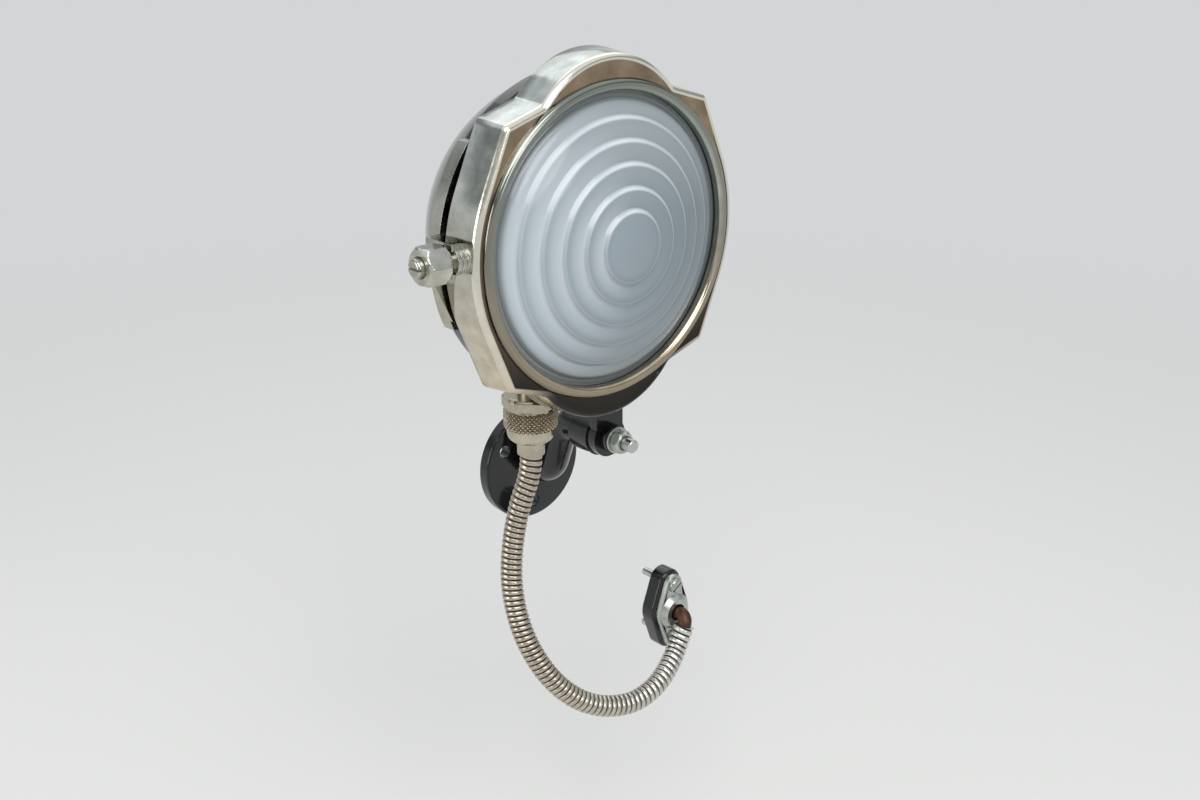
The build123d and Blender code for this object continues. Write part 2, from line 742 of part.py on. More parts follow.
with BuildPart() as flange:
    with BuildSketch(flange_plane):
        add(oval())
    extrude(amount=flange_plate)
    fillet(flange.faces().sort_by(Axis.Y)[0].edges(), flange_edge)
    with BuildSketch(flange_plane.offset(flange_plate)):
        Circle(flange_collar_radius)
    extrude(amount=flange_collar_height, taper=flange_collar_taper)
    with BuildSketch(flange_plane):
        with Locations((elbow.X - flange_x, 0)):
            Circle(bushing_radius + bushing_hole_clearance)
        with Locations((0, screw_offset), (0, -screw_offset)):
            Circle(screw_shank_radius + screw_clearance)
    extrude(amount=flange_plate + flange_collar_height, mode=Mode.SUBTRACT)
keep(flange, "flange")

with BuildPart() as flange_pad:
    with BuildSketch(flange_plane.offset(-pad_thickness)):
        add(oval(pad_margin))
    extrude(amount=pad_thickness)
    fillet(flange_pad.faces().sort_by(Axis.Y)[0].edges(), pad_margin)
    with BuildSketch(flange_plane.offset(-pad_thickness)):
        Circle(wire_hole)
        with Locations((0, screw_offset), (0, -screw_offset)):
            Circle(screw_shank_radius + screw_clearance)
    extrude(amount=pad_thickness, mode=Mode.SUBTRACT)
keep(flange_pad, "flange_pad")

for name, side in (("upper", 1), ("lower", -1)):
    seat_plane = Plane(origin=(flange_x, flange_y, flange_z + side * screw_offset), x_dir=(1, 0, 0), z_dir=(0, -1, 0))
    shank_length = flange_plate + pad_thickness
    with BuildPart() as screw:
        with BuildSketch(seat_plane.offset(-shank_length - screw_stand_out)):
            Circle(screw_thread_radius)
        extrude(amount=screw_stand_out)
        with BuildSketch(seat_plane.offset(-shank_length)):
            Circle(screw_shank_radius)
        extrude(amount=shank_length)
        with BuildSketch(seat_plane):
            Circle(screw_head_radius)
        extrude(amount=screw_head_height)
        fillet(screw.faces().sort_by(Axis.Y)[0].edges(), screw_head_round)
        with BuildSketch(seat_plane.offset(screw_head_height - screw_slot_depth)):
            Rectangle(3 * screw_head_radius, screw_slot, rotation=screw_slot_turn)
        extrude(amount=screw_slot_depth, mode=Mode.SUBTRACT)
    keep(screw, f"{name}_screw")
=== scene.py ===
"""Finish and fine form of a veteran car's electric side lamp, with its bracket and flexible conduit."""

import math

import bmesh
import bpy
import numpy as np
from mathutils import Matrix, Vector


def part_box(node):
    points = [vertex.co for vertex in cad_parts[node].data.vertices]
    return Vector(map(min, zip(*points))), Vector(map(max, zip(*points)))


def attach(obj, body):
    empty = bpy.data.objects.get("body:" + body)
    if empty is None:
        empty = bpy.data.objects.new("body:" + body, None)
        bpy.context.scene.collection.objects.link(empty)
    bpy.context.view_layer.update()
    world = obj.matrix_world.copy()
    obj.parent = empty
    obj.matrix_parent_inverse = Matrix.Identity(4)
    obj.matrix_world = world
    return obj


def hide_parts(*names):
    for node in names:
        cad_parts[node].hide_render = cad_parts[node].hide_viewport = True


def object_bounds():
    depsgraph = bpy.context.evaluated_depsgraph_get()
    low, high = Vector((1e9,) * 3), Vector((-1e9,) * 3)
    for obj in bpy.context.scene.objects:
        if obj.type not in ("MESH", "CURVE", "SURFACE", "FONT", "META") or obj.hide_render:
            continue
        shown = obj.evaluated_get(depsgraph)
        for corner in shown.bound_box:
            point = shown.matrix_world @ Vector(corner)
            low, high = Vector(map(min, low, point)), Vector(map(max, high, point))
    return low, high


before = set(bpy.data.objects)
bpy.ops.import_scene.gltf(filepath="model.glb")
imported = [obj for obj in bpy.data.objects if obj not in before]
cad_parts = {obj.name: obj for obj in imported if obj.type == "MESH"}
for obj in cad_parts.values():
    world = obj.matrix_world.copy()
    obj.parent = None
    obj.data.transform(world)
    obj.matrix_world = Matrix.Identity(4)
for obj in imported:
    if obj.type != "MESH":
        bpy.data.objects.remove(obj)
cad_low, cad_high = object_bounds()

# Shapes are worked out in millimetres and put into the meshes in metres
MM = 0.001
TURN = 2 * math.pi
RIGHT = np.array([1.0, 0.0, 0.0])
BACK = np.array([0.0, 1.0, 0.0])
UP = np.array([0.0, 0.0, 1.0])


def corners(node):
    """Lowest and highest corner of a CAD node in millimetres."""
    low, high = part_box(node)
    return np.array(low) / MM, np.array(high) / MM


def middle(node):
    """Centre of a CAD node's box in millimetres."""
    low, high = corners(node)
    return (low + high) / 2


# Lamp head: the lip is the plane of the bezel's front face, and depths run back from it
bead_height = 2.5
lip = middle("lens") * [1, 0, 1] + [0, corners("bezel")[0][1] + bead_height, 0]


# Mesh helpers
def tidy(mesh, sharp):
    """Closes seams and poles, turns the faces outwards and smooths all but the sharp edges."""
    work = bmesh.new()
    work.from_mesh(mesh)
    bmesh.ops.remove_doubles(work, verts=work.verts, dist=0.0005 * MM)
    bmesh.ops.dissolve_degenerate(work, edges=work.edges, dist=0.0001 * MM)
    bmesh.ops.recalc_face_normals(work, faces=work.faces)
    work.to_mesh(mesh)
    work.free()
    mesh.shade_smooth()
    mesh.set_sharp_from_angle(angle=math.radians(sharp))


def surface(name, points, wrap_rows=True, wrap_columns=False, sharp=35, **values):
    """Quads over a grid of points. A wrapped direction joins its end to its start, and values are point
    attributes."""
    rows, columns = points.shape[:2]
    index = np.arange(rows * columns).reshape(rows, columns)
    if wrap_rows:
        index = np.vstack([index, index[:1]])
    if wrap_columns:
        index = np.hstack([index, index[:, :1]])
    quads = np.stack([index[:-1, :-1], index[1:, :-1], index[1:, 1:], index[:-1, 1:]], axis=-1)
    mesh = bpy.data.meshes.new(name)
    mesh.from_pydata((points.reshape(-1, 3) * MM).tolist(), [], quads.reshape(-1, 4).tolist())
    for key, value in values.items():
        layer = mesh.attributes.new(key, "FLOAT", "POINT")
        layer.data.foreach_set("value", value.astype(np.float32).ravel())
    tidy(mesh, sharp)
    made = bpy.data.objects.new(name, mesh)
    bpy.context.scene.collection.objects.link(made)
    return made


def across(along):
    """Two unit vectors square to an axis and to each other."""
    side = np.cross(along, UP if abs(along[2]) < 0.9 else BACK)
    side = side / np.linalg.norm(side)
    return side, np.cross(side, along)


def rounded(points, steps=5):
    """Profile whose corner (a, b, radius) becomes an arc that touches both of its sides. The profile is taken
    as closed, so an open one has a radius of 0 at its two ends."""
    points = [np.array(p, float) for p in points]
    line = []
    for before, here, after in zip(points[-1:] + points, points, points[1:] + points[:1]):
        radius = here[2]
        corner = here[:2]
        if radius == 0:
            line.append(corner)
            continue
        come = (before[:2] - corner) / np.linalg.norm(before[:2] - corner)
        go = (after[:2] - corner) / np.linalg.norm(after[:2] - corner)
        half = math.acos(np.clip(come @ go, -1, 1)) / 2
        centre = corner + (come + go) / np.linalg.norm(come + go) * radius / math.sin(half)
        first = corner + come * radius / math.tan(half) - centre
        last = corner + go * radius / math.tan(half) - centre
        share = np.linspace(0, 1, steps)[:, None]
        swing = math.acos(np.clip(first @ last / radius**2, -1, 1))
        arc = (np.sin((1 - share) * swing) * first + np.sin(share * swing) * last) / math.sin(swing)
        line.extend(centre + arc)
    return np.array(line)


def bulged(first, last, bulge, steps=40):
    """Points of the arc between two profile points that stands out from their chord by a bulge."""
    first, last = np.array(first, float), np.array(last, float)
    half = np.linalg.norm(last - first) / 2
    radius = (half**2 + bulge**2) / (2 * bulge)
    chord = (last - first) / (2 * half)
    square = np.array([-chord[1], chord[0]])
    swing = np.linspace(-1, 1, steps)[:, None] * math.asin(half / radius)
    rise = radius * np.cos(swing) - radius + bulge
    return (first + last) / 2 + radius * np.sin(swing) * chord + rise * square


def finer(profile, step):
    """Profile with points added so that no run between two of them is longer than a step."""
    line = [profile[0]]
    for here, after in zip(profile, profile[1:]):
        parts = max(1, math.ceil(np.linalg.norm(after - here) / step))
        line.extend(here + (after - here) * share for share in np.linspace(0, 1, parts + 1)[1:])
    return np.array(line)


def turned(name, profile, centre, along, segments=180, ring=False, sharp=35, swell=None, **values):
    """Surface of revolution: profile points (radius, distance) are carried round an axis through a centre.
    A swell adds to the radius by angle and distance. Values are point attributes, one for each profile point
    or one for each point of the grid."""
    radius, distance = np.array(profile, float).T
    side, up = across(along)
    angle = np.linspace(0, TURN, segments, endpoint=False)
    spoke = np.cos(angle)[:, None] * side + np.sin(angle)[:, None] * up
    radius = np.broadcast_to(radius, (segments, len(distance)))
    if swell is not None:
        radius = radius + swell(angle[:, None], distance[None, :])
    points = centre + radius[..., None] * spoke[:, None, :] + distance[:, None] * along
    values = {key: np.broadcast_to(value, points.shape[:2]) for key, value in values.items()}
    return surface(name, points, wrap_columns=ring, sharp=sharp, **values)


def dressed(node, name, edge):
    """Copy of a CAD piece with its triangles merged and its edges rounded to a small radius."""
    sharp = math.radians(30)
    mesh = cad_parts[node].data.copy()
    mesh.name = name
    mesh.materials.clear()
    work = bmesh.new()
    work.from_mesh(mesh)
    bmesh.ops.remove_doubles(work, verts=work.verts, dist=0.001 * MM)
    bmesh.ops.dissolve_limit(work, angle_limit=math.radians(0.5), verts=work.verts, edges=work.edges)
    bmesh.ops.recalc_face_normals(work, faces=work.faces)
    work.to_mesh(mesh)
    work.free()
    mesh.shade_smooth()
    mesh.set_sharp_from_angle(angle=sharp)
    made = bpy.data.objects.new(name, mesh)
    bpy.context.scene.collection.objects.link(made)
    if edge:
        bevel = made.modifiers.new("edge", "BEVEL")
        bevel.width = edge * MM
        bevel.segments = 3
        bevel.limit_method = "ANGLE"
        bevel.angle_limit = sharp
        bevel.harden_normals = True
    return made


def settle(piece, body, slot, finish, *nodes):
    """Gives a piece its finish and its body, and hides the CAD nodes that it stands for. The slot is not
    used.
    """
    piece.data.materials.clear()
    piece.data.materials.append(finish)
    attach(piece, body)
    if nodes:
        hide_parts(*nodes)
    return piece


# Material helpers
def colour(code):
    """Linear colour of an sRGB hex value."""
    parts = [int(code[i:i + 2], 16) / 255 for i in (1, 3, 5)]
    return [p / 12.92 if p <= 0.04045 else ((p + 0.055) / 1.055) ** 2.4 for p in parts] + [1.0]


def per(size):
    """Texture scale for a feature of this many millimetres on Object coordinates."""
    return 1 / (size * MM)


def add(tree, kind, inputs=None, **settings):
    """Adds a node with its settings; an input is a value, or the output that it is linked to. A Mix node of
    colours takes its share at 0 and its two colours at 6 and 7, and gives its result at output 2."""
    made = tree.nodes.new(kind)
    for key, value in settings.items():
        setattr(made, key, value)
    for key, value in (inputs or {}).items():
        if isinstance(value, bpy.types.NodeSocket):
            tree.links.new(value, made.inputs[key])
        else:
            made.inputs[key].default_value = value
    return made


def start(name):
    """New material: its tree, shader and Object coordinates."""
    made = bpy.data.materials.new(name)
    made.use_nodes = True
    tree = made.node_tree
    shader = tree.nodes["Principled BSDF"]
    return made, tree, shader, add(tree, "ShaderNodeTexCoord").outputs["Object"]


# Heights between which the plate's tint goes from cool to yellow
clean_height = 190
yellow_height = 90


def nickel_plate(name, shade, yellow, smooth, clouded):
    """Nickel plate on brass, polished once, that mirrors its surroundings softly. It is clouded by haze and
    handling, its roughness wanders from smooth to clouded, and its tint turns yellow lower down. Where a
    piece asks for it, a film is laid on, grey where it is thin, brown where thick and near black lower down:
    on the bezel this film is a painted reflection of brown surroundings, with painted shade lower down, and
    in the connector's knurl it is grime. Where a piece asks for it, a painted highlight lies along an edge,
    brightest at the top."""
    made, tree, shader, place = start(name)
    shader.inputs["Metallic"].default_value = 1.0
    height = add(tree, "ShaderNodeSeparateXYZ", {"Vector": place}).outputs["Z"]
    low = add(tree, "ShaderNodeMapRange", {"Value": height, "From Min": clean_height * MM,
                                           "From Max": yellow_height * MM}).outputs["Result"]
    yellowed = add(tree, "ShaderNodeMath", {0: low, 1: yellow}, operation="MULTIPLY").outputs[0]
    cloud = add(tree, "ShaderNodeTexNoise",
                {"Vector": place, "Scale": per(13), "Detail": 5, "Roughness": 0.6})
    patch = add(tree, "ShaderNodeMapRange",
                {"Value": cloud.outputs["Fac"], "From Min": 0.3, "From Max": 0.7}).outputs["Result"]
    clean = add(tree, "ShaderNodeMix",
                {0: yellowed, 6: colour("#D2D7D3"), 7: colour("#DCD0B8")}, data_type="RGBA")
    hazy = add(tree, "ShaderNodeMix",
               {0: yellowed, 6: colour("#A3A9A4"), 7: colour("#B5A78F")}, data_type="RGBA")
    tint = add(tree, "ShaderNodeMix", {0: patch, 6: clean.outputs[2], 7: hazy.outputs[2]}, data_type="RGBA")
    worn = add(tree, "ShaderNodeMix", {0: shade, 6: tint.outputs[2], 7: colour("#8C8474")}, data_type="RGBA")
    # Film laid on by a value: on the bezel a painted reflection with painted shade lower down, in the knurl
    # grime
    tarnish = add(tree, "ShaderNodeAttribute", attribute_name="tarnish").outputs["Fac"]
    thin = add(tree, "ShaderNodeMapRange", {"Value": tarnish, "From Max": 0.5}).outputs["Result"]
    thick = add(tree, "ShaderNodeMapRange",
                {"Value": tarnish, "From Min": 0.5, "From Max": 0.9}).outputs["Result"]
    brown = add(tree, "ShaderNodeMix",
                {0: patch, 6: colour("#A8947C"), 7: colour("#857460")}, data_type="RGBA")
    # Painted shade: the thick film turns near black lower down
    deep = add(tree, "ShaderNodeMix", {0: low, 6: brown.outputs[2], 7: colour("#3A3733")}, data_type="RGBA")
    grey = add(tree, "ShaderNodeMix", {0: low, 6: colour("#8E928B"), 7: colour("#9C8E79")}, data_type="RGBA")
    film = add(tree, "ShaderNodeMix", {0: thick, 6: grey.outputs[2], 7: deep.outputs[2]}, data_type="RGBA")
    filmed = add(tree, "ShaderNodeMix", {0: thin, 6: worn.outputs[2], 7: film.outputs[2]}, data_type="RGBA")
    # Painted highlight along an edge, pale cream, brightest at the top
    shine = add(tree, "ShaderNodeAttribute", attribute_name="shine").outputs["Fac"]
    high = add(tree, "ShaderNodeMath", {0: low, 1: -0.75, 2: 1.0}, operation="MULTIPLY_ADD")
    rubbed = add(tree, "ShaderNodeMath", {0: shine, 1: high.outputs[0]}, operation="MULTIPLY")
    skin = add(tree, "ShaderNodeMix",
               {0: rubbed.outputs[0], 6: filmed.outputs[2], 7: colour("#EFE9DB")}, data_type="RGBA")
    tree.links.new(skin.outputs[2], shader.inputs["Base Color"])
    haze = add(tree, "ShaderNodeTexNoise",
               {"Vector": place, "Scale": per(7), "Detail": 6, "Roughness": 0.7})
    rough = add(tree, "ShaderNodeMapRange", {"Value": haze.outputs["Fac"], "From Min": 0.35, "From Max": 0.7,
                                             "To Min": smooth, "To Max": clouded})
    tree.links.new(rough.outputs["Result"], shader.inputs["Roughness"])
    ripple = add(tree, "ShaderNodeTexNoise", {"Vector": place, "Scale": per(9), "Detail": 2})
    bump = add(tree, "ShaderNodeBump",
               {"Height": ripple.outputs["Fac"], "Strength": 0.5, "Distance": 0.2 * MM})
    tree.links.new(bump.outputs["Normal"], shader.inputs["Normal"])
    return made


def wrapped_nickel():
    """Spiral-wound nickel conduit, with painted light that makes it brighter towards its far end, and
    with dark grease down in the joints of the wrap."""
    made, tree, shader, place = start("wrapped_nickel_conduit")
    shader.inputs["Metallic"].default_value = 1.0
    groove = add(tree, "ShaderNodeAttribute", attribute_name="groove").outputs["Fac"]
    patch = add(tree, "ShaderNodeTexNoise",
                {"Vector": place, "Scale": per(6), "Detail": 5, "Roughness": 0.65})
    # Painted light: the plate brightens towards the conduit's far end
    run = add(tree, "ShaderNodeAttribute", attribute_name="run").outputs["Fac"]
    bright = add(tree, "ShaderNodeMapRange",
                 {"Value": run, "From Min": 0.55, "From Max": 0.95}).outputs["Result"]
    plate = add(tree, "ShaderNodeMix",
                {0: bright, 6: colour("#D6CCBC"), 7: colour("#EEECE8")}, data_type="RGBA")
    worn = add(tree, "ShaderNodeMix",
               {0: bright, 6: colour("#998F80"), 7: colour("#B4B0A8")}, data_type="RGBA")
    crest = add(tree, "ShaderNodeMix",
                {0: patch.outputs["Fac"], 6: plate.outputs[2], 7: worn.outputs[2]}, data_type="RGBA")
    greased = add(tree, "ShaderNodeMix",
                  {0: groove, 6: crest.outputs[2], 7: colour("#2C2620")}, data_type="RGBA")
    tree.links.new(greased.outputs[2], shader.inputs["Base Color"])
    dull = add(tree, "ShaderNodeMapRange", {"Value": groove, "To Min": 0.26, "To Max": 0.6})
    tree.links.new(dull.outputs["Result"], shader.inputs["Roughness"])
    return made


def pressed_glass():
    """Pressed glass, frosted behind so that it looks milky: blue-grey, with painted light that makes it paler
    to the left and greyer near its top and bottom, a painted highlight along the rings' crests, painted shade
    before their risers and painted shade round the rim."""
    made, tree, shader, place = start("pressed_frosted_glass")
    sides = add(tree, "ShaderNodeSeparateXYZ", {"Vector": place}).outputs
    # Painted light: paler to the left and darker to the right, greyer near the top and darker near the bottom
    right = add(tree, "ShaderNodeMapRange",
                {"Value": sides["X"], "From Min": -100 * MM, "From Max": 40 * MM}).outputs["Result"]
    body = add(tree, "ShaderNodeMix",
               {0: right, 6: colour("#ACB9C3"), 7: colour("#66747A")}, data_type="RGBA")
    for first, last, code in ((160, 230, "#A2AAAD"), (110, 70, "#7E8386")):
        share = add(tree, "ShaderNodeMapRange",
                    {"Value": sides["Z"], "From Min": first * MM, "From Max": last * MM}).outputs["Result"]
        body = add(tree, "ShaderNodeMix", {0: share, 6: body.outputs[2], 7: colour(code)}, data_type="RGBA")
    # Painted highlight along the crests, painted shade before the risers and round the rim
    for key, code in (("dust", "#DDE4EA"), ("grime", "#5E696E"), ("rim", "#7B8182")):
        share = add(tree, "ShaderNodeAttribute", attribute_name=key).outputs["Fac"]
        body = add(tree, "ShaderNodeMix", {0: share, 6: body.outputs[2], 7: colour(code)}, data_type="RGBA")
    tree.links.new(body.outputs[2], shader.inputs["Base Color"])
    shader.inputs["Roughness"].default_value = 0.3
    shader.inputs["IOR"].default_value = 1.52
    shader.inputs["Transmission Weight"].default_value = 0.12
    shader.inputs["Coat Weight"].default_value = 0.8
    shader.inputs["Coat Roughness"].default_value = 0.1
    ripple = add(tree, "ShaderNodeTexNoise", {"Vector": place, "Scale": per(9), "Detail": 3})
    bump = add(tree, "ShaderNodeBump",
               {"Height": ripple.outputs["Fac"], "Strength": 0.2, "Distance": 0.15 * MM})
    tree.links.new(bump.outputs["Normal"], shader.inputs["Normal"])
    return made


def clear_glass():
    """Thin blown glass of the bulb: the solid stands for a hollow shell, so it bends light very little."""
    made, _, shader, _ = start("blown_clear_glass")
    shader.inputs["Base Color"].default_value = colour("#F6F7F4")
    shader.inputs["Roughness"].default_value = 0.02
    shader.inputs["IOR"].default_value = 1.06
    shader.inputs["Transmission Weight"].default_value = 0.97
    shader.inputs["Coat Weight"].default_value = 1.0
    return made


def stoved_enamel():
    """Black stoved enamel on steel: deep gloss with a faint orange-peel ripple and a dusting of fine
    specks."""
    made, tree, shader, place = start("black_stoved_enamel")
    dust = add(tree, "ShaderNodeTexNoise",
               {"Vector": place, "Scale": per(1.4), "Detail": 4, "Roughness": 0.8})
    speck = add(tree, "ShaderNodeMapRange", {"Value": dust.outputs["Fac"], "From Min": 0.66, "From Max": 0.8})
    film = add(tree, "ShaderNodeMix",
               {0: speck.outputs["Result"], 6: colour("#0C0D0F"), 7: colour("#3A3A3A")}, data_type="RGBA")
    tree.links.new(film.outputs[2], shader.inputs["Base Color"])
    shader.inputs["Specular IOR Level"].default_value = 0.15
    shader.inputs["Coat Weight"].default_value = 0.8
    shader.inputs["Coat Roughness"].default_value = 0.06
    haze = add(tree, "ShaderNodeTexNoise", {"Vector": place, "Scale": per(22), "Detail": 4})
    rough = add(tree, "ShaderNodeMapRange", {"Value": haze.outputs["Fac"], "To Min": 0.14, "To Max": 0.32})
    tree.links.new(rough.outputs["Result"], shader.inputs["Roughness"])
    peel = add(tree, "ShaderNodeTexNoise", {"Vector": place, "Scale": per(2.2), "Detail": 1})
    bump = add(tree, "ShaderNodeBump",
               {"Height": peel.outputs["Fac"], "Strength": 0.15, "Distance": 0.04 * MM})
    tree.links.new(bump.outputs["Normal"], shader.inputs["Normal"])
    tree.links.new(bump.outputs["Normal"], shader.inputs["Coat Normal"])
    return made


def silvering():
    """Silvered brass reflector, with a little yellow tarnish in patches."""
    made, tree, shader, place = start("silvered_brass")
    shader.inputs["Metallic"].default_value = 1.0
    tarnish = add(tree, "ShaderNodeTexNoise",
                  {"Vector": place, "Scale": per(24), "Detail": 6, "Roughness": 0.7}).outputs["Fac"]
    tint = add(tree, "ShaderNodeMix",
               {0: tarnish, 6: colour("#EDEBE4"), 7: colour("#CFC4A6")}, data_type="RGBA")
    tree.links.new(tint.outputs[2], shader.inputs["Base Color"])
    rough = add(tree, "ShaderNodeMapRange", {"Value": tarnish, "To Min": 0.08, "To Max": 0.3})
    tree.links.new(rough.outputs["Result"], shader.inputs["Roughness"])
    return made


def dull_metal(name, light, dark, grain, smooth, dull):
    """Turned or drawn bare metal gone dull: colour and roughness wander with the grain of the tarnish."""
    made, tree, shader, place = start(name)
    shader.inputs["Metallic"].default_value = 1.0
    stain = add(tree, "ShaderNodeTexNoise",
                {"Vector": place, "Scale": per(grain), "Detail": 5, "Roughness": 0.7}).outputs["Fac"]
    tint = add(tree, "ShaderNodeMix", {0: stain, 6: colour(light), 7: colour(dark)}, data_type="RGBA")
    tree.links.new(tint.outputs[2], shader.inputs["Base Color"])
    rough = add(tree, "ShaderNodeMapRange", {"Value": stain, "To Min": smooth, "To Max": dull})
    tree.links.new(rough.outputs["Result"], shader.inputs["Roughness"])
    return made


def moulded_rubber():
    """Matt black rubber with a chalky bloom."""
    made, tree, shader, place = start("moulded_rubber")
    bloom = add(tree, "ShaderNodeTexNoise", {"Vector": place, "Scale": per(3), "Detail": 4})
    tint = add(tree, "ShaderNodeMix",
               {0: bloom.outputs["Fac"], 6: colour("#161616"), 7: colour("#2B2A29")}, data_type="RGBA")
    tree.links.new(tint.outputs[2], shader.inputs["Base Color"])
    shader.inputs["Roughness"].default_value = 0.75
    return made


nickel = nickel_plate("polished_nickel_plate", shade=0.0, yellow=1.0, smooth=0.08, clouded=0.22)
worn_nickel = nickel_plate("worn_nickel_plate", shade=0.35, yellow=0.7, smooth=0.14, clouded=0.36)
satin_nickel = nickel_plate("satin_nickel_plate", shade=0.15, yellow=0.0, smooth=0.24, clouded=0.4)
conduit_nickel = wrapped_nickel()
lens_glass = pressed_glass()
bulb_glass = clear_glass()
enamel = stoved_enamel()
silvered = silvering()
brass = dull_metal("dull_turned_brass", "#C09A55", "#7E6234", grain=4, smooth=0.25, dull=0.5)
copper = dull_metal("brown_copper_tube", "#73574A", "#35281F", grain=3, smooth=0.3, dull=0.6)
spring_steel = dull_metal("spring_steel_wire", "#A9A7A3", "#6E6B66", grain=5, smooth=0.25, dull=0.5)
rubber = moulded_rubber()


# Bezel: its outline, then its section, with depths from the lip
side_radius = 80.0
corner_reach = 86.3
lobe_radius = 50.0
lobe_centre = 36.5
lobe_half = 39.0
corner_round = 1.6
join_round = 1.2
band_depth = 20.0
band_wall = 1.6
band_flare = 1.8
face_edge = 2.4
face_sink = 0.3
face_wall = 2.0
lens_opening = 70.0
bead_width = 5.5
seat_inner = 73.9
seat_outer = 75.4
seat_back = 9.0


def softened(a, b, width):
    """Smaller of two lengths, with the corner between them rounded over a width."""
    share = np.clip(0.5 + (b - a) / (2 * width), 0, 1)
    return b + (a - b) * share - width * share * (1 - share)


def bezel_reach(angle):
    """Distance from the lamp's axis to the band: side circles and their tangents, cut by straight
    shoulders, and past the shoulders the round lobes."""
    folded = np.arctan2(np.abs(np.sin(angle)), np.abs(np.cos(angle)))
    tangent_at = math.radians(45) - math.acos(side_radius / corner_reach)
    side = side_radius / np.cos(np.maximum(folded - tangent_at, 0))
    corner = corner_reach / math.sqrt(2)
    join_height = lobe_centre + math.sqrt(lobe_radius**2 - lobe_half**2)
    lean = math.atan2(join_height - corner, corner - lobe_half)
    drop = corner * (math.sin(lean) + math.cos(lean))
    shoulder = drop / np.cos(folded - (math.pi / 2 - lean))
    lobe = lobe_centre * np.sin(folded) + np.sqrt(lobe_radius**2 - (lobe_centre * np.cos(folded)) ** 2)
    plate = softened(side, shoulder, corner_round)
    return -softened(-plate, -lobe, join_round)


def make_bezel():
    """Stamped bezel: a section through band, rolled edge, face and bead, carried round the lobed outline.
    A section point lies some share of the way from a circle to the outline, less an inset, and the outline
    grows by the flare towards the back. A painted reflection of brown surroundings, with painted shade lower
    down, covers the face, the edge underneath and the bead, which below is left bare towards the opening.
    The rest of the edge carries a painted highlight."""
    angle = np.linspace(0, TURN, 1080, endpoint=False)
    circle = np.stack([np.cos(angle), np.sin(angle)], axis=1)
    outline = bezel_reach(angle)[:, None] * circle
    along = np.roll(outline, -1, axis=0) - np.roll(outline, 1, axis=0)
    outward = np.stack([along[:, 1], -along[:, 0]], axis=1)
    outward /= np.linalg.norm(outward, axis=1, keepdims=True)
    bead_middle = lens_opening + bead_width / 2
    bead_outer = lens_opening + bead_width

    # Section points: share of the way to the outline, inset from it, depth, radius of the circle
    rolled = rounded([(0, band_depth / 2, 0), (0, 0, face_edge), (6, 0, 0)], 7)
    outer = [(1.0, 0.0, face_edge + step, 0.0) for step in (6.0, 0.4)]
    outer += [(1.0, inset, depth, 0.0) for inset, depth in rolled[1:-1]]
    face = [(1.0, face_edge + 0.5, 0.1, 0.0)]
    face += [(share, 3.0 * share, face_sink, bead_outer + 0.2) for share in (0.7, 0.3, 0.0)]
    arch = np.linspace(0, math.pi, 13)
    bead = [(0.0, 0.0, -bead_height * math.sin(a), bead_middle + bead_width / 2 * math.cos(a)) for a in arch]
    opening = [(0.0, 0.0, face_wall - 0.3, lens_opening), (0.0, 0.0, face_wall, lens_opening + 0.3)]
    inner = [(0.0, 0.0, face_wall, bead_outer + 1), (0.7, 3 * band_wall, face_wall, lens_opening)]
    inner += [(1.0, band_wall + 1.2, face_wall, 0.0), (1.0, band_wall + 0.35, face_wall + 0.35, 0.0),
              (1.0, band_wall, face_wall + 1.2, 0.0), (1.0, band_wall, band_depth - 0.5, 0.0)]
    back_edge = [(1.0, band_wall - 0.3, band_depth, 0.0), (1.0, 0.3, band_depth, 0.0),
                 (1.0, 0.0, band_depth - 0.5, 0.0)]
    share, inset, depth, radius = np.array(outer + face + bead + opening + inner + back_edge).T
    rim = outline[:, None, :] + (band_flare * depth / band_depth - inset)[:, None] * outward[:, None, :]
    flat = share[:, None] * rim + (1 - share)[:, None] * radius[:, None] * circle[:, None, :]
    points = lip + flat[..., :1] * RIGHT + flat[..., 1:] * UP + depth[:, None] * BACK

    # Painted light: a highlight along the rolled edge but underneath, and a reflection with shade on the
    # face, bead and lower edge
    tarnish, shine = np.zeros(points.shape[:2]), np.zeros(points.shape[:2])
    edge_end, face_end = len(outer), len(outer) + len(face)
    under = np.clip((-np.sin(angle) - 0.7) / 0.2, 0, 1)[:, None]
    above = (0.5 + 0.5 * np.cos(angle - math.radians(110)))[:, None]
    shine[:, 2:edge_end] = 1 - under
    tarnish[:, 2:edge_end] = under
    tarnish[:, edge_end:face_end] = 1
    tarnish[:, face_end:face_end + len(bead)] = above * 0.5 + (1 - above) * (0.4 + 0.4 * np.cos(arch))
    bezel = surface("bezel_shell", points, wrap_columns=True, sharp=50, tarnish=tarnish, shine=shine)
    settle(bezel, "door", "nickel", nickel, "bezel")
    seat = rounded([(seat_inner, face_wall, 0), (seat_inner, seat_back, 0.3), (seat_outer, seat_back, 0.3),
                    (seat_outer, face_wall, 0)], 4)
    settle(turned("bezel_seat", seat, lip, BACK, ring=True), "door", "nickel", nickel)


# Lens, with the gasket and the spring ring that hold it: radii from the lamp's axis, depths from the lip
crown_height = 15.6
crown_radius = 139.9
disc_rise = 0.4
ring_radii = [17.7, 27.9, 38.6, 48.8, 58.9, 66.3]
ring_step = 1.9
riser_width = 1.7
ring_crown = 0.4
crest_round = 0.7
foot_round = 0.25
glass_radius = 69.7
lens_edge = 73.6
rim_back = 6.0
hollow_radius = 66.1
hollow_bulge = 4.0
lens_wall = 4.0
dull_rim = 64.0
lens_segments = 200
gasket_inner = 70.1
gasket_outer = 73.5
gasket_front = 2.0
gasket_back = 3.0
spring_radius = 72.0
spring_depth = 7.0
spring_half_width = 1.6
spring_half_depth = 1.0


